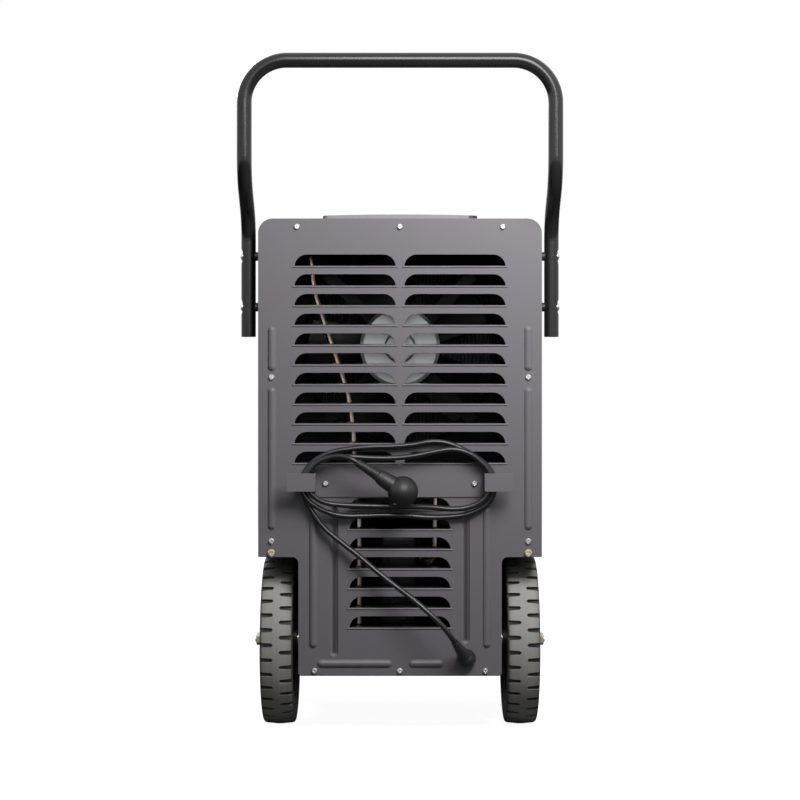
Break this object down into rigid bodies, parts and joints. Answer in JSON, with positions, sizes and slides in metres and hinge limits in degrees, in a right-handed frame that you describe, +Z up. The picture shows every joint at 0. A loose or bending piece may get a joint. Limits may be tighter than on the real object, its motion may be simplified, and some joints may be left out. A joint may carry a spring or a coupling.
{
  "type": "dehumidifier",
  "caption": "Wheeled compressor dehumidifier with louvred back panel, push handle, cord hooks, coiled mains lead, slide-out water tank and lift-out air filter.",
  "frame": {"origin": "on the floor, at the bottom centre of the machine's box without its cord and plug", "axes": "+Z up; -Y to the machine's front with the air inlet, filter and water tank; +Y to the louvred back with the handle and cord hooks; +X to the pusher's left"},
  "size_m": [0.482, 0.503, 1.013],
  "materials": {
    "grey_paint": "satin powder coat, anthracite grey",
    "black_paint": "gloss black powder coat",
    "black_plastic": "fine-grained black plastic",
    "dark_plastic": "satin dark grey plastic",
    "zinc": "bright zinc plate",
    "galvanised": "galvanised sheet steel",
    "tyre_rubber": "dull dark grey rubber",
    "soft_rubber": "matt black rubber",
    "cord_rubber": "satin black rubber cable",
    "fin_aluminium": "bare aluminium fins",
    "motor_aluminium": "cast and machined aluminium",
    "copper": "bare copper tube",
    "nickel": "nickel plated brass",
    "tank_plastic": "translucent white plastic",
    "float_plastic": "white foamed plastic",
    "lens": "smoked clear window",
    "circuit_board": "green laminate",
    "filter_mesh": "woven nylon mesh",
    "button_plastic": "satin light grey plastic"
  },
  "bodies": {
    "chassis": {"back_panel": "grey_paint", "casing_wrap": "grey_paint", "base_pan": "grey_paint", "wheel_arch_left": "grey_paint", "wheel_arch_right": "grey_paint", "deck": "galvanised", "bulkhead": "galvanised", "front_panel": "dark_plastic", "front_grille": "black_plastic", "panel_screws": "zinc", "arch_bolts": "zinc", "handle_tube": "black_paint", "handle_spacers": "black_plastic", "handle_bolts": "zinc", "cord_bracket": "grey_paint", "bracket_screws": "zinc", "cable_gland": "black_plastic", "mains_cord": "cord_rubber", "mains_plug": "soft_rubber", "plug_pins": "nickel", "axle_left": "zinc", "axle_right": "zinc", "hub_nuts": "zinc", "front_legs": "black_paint", "front_feet": "soft_rubber", "control_panel": "black_plastic", "display_lens": "lens", "control_board": "circuit_board", "fan_shroud": "galvanised", "fan_motor": "motor_aluminium", "motor_bracket": "galvanised", "condenser": "fin_aluminium", "evaporator": "fin_aluminium", "coil_bends": "copper", "drip_tray": "black_plastic", "compressor": "black_paint", "compressor_feet": "soft_rubber", "compressor_bolts": "zinc", "refrigerant_pipes": "copper", "electrical_box": "dark_plastic", "run_capacitor": "float_plastic", "level_switch": "black_plastic"},
    "wheel_left": {"tyre_left": "tyre_rubber", "wheel_left": "black_plastic"},
    "wheel_right": {"tyre_right": "tyre_rubber", "wheel_right": "black_plastic"},
    "fan": {"fan_rotor": "black_plastic"},
    "tank": {"water_tank": "tank_plastic", "tank_lid": "tank_plastic", "tank_front": "dark_plastic"},
    "float": {"float_arm": "float_plastic"},
    "filter": {"filter_frame": "black_plastic", "filter_mesh": "filter_mesh"},
    "button_1": {"button_1": "button_plastic"},
    "button_2": {"button_2": "button_plastic"},
    "button_3": {"button_3": "button_plastic"},
    "button_4": {"button_4": "button_plastic"},
    "button_5": {"button_5": "button_plastic"}
  },
  "joints": [
    {"name": "wheel_left_spin", "type": "hinge", "parent": "chassis", "child": "wheel_left", "pos_m": [0.18555, 0.0735, 0.13], "axis": [1, 0, 0], "continuous": true},
    {"name": "wheel_right_spin", "type": "hinge", "parent": "chassis", "child": "wheel_right", "pos_m": [-0.18555, 0.0735, 0.13], "axis": [1, 0, 0], "continuous": true},
    {"name": "fan_spin", "type": "hinge", "parent": "chassis", "child": "fan", "pos_m": [0, 0.0365, 0.583], "axis": [0, 1, 0], "continuous": true},
    {"name": "tank_slide", "type": "slide", "parent": "chassis", "child": "tank", "axis": [0, -1, 0], "range_m": [0, 0.15]},
    {"name": "float_lift", "type": "hinge", "parent": "tank", "child": "float", "pos_m": [-0.06, -0.1006, 0.2813], "axis": [-1, 0, 0], "range_deg": [0, 18]},
    {"name": "filter_slide", "type": "slide", "parent": "chassis", "child": "filter", "axis": [0, 0, 1], "range_m": [0, 0.36]},
    {"name": "button_1_press", "type": "slide", "parent": "chassis", "child": "button_1", "axis": [0, 0, -1], "range_m": [0, 0.0012], "stiffness_N_per_m": 800, "springref_m": -0.0008},
    {"name": "button_2_press", "type": "slide", "parent": "chassis", "child": "button_2", "axis": [0, 0, -1], "range_m": [0, 0.0012], "stiffness_N_per_m": 800, "springref_m": -0.0008},
    {"name": "button_3_press", "type": "slide", "parent": "chassis", "child": "button_3", "axis": [0, 0, -1], "range_m": [0, 0.0012], "stiffness_N_per_m": 800, "springref_m": -0.0008},
    {"name": "button_4_press", "type": "slide", "parent": "chassis", "child": "button_4", "axis": [0, 0, -1], "range_m": [0, 0.0012], "stiffness_N_per_m": 800, "springref_m": -0.0008},
    {"name": "button_5_press", "type": "slide", "parent": "chassis", "child": "button_5", "axis": [0, 0, -1], "range_m": [0, 0.0012], "stiffness_N_per_m": 800, "springref_m": -0.0008}
  ]
}
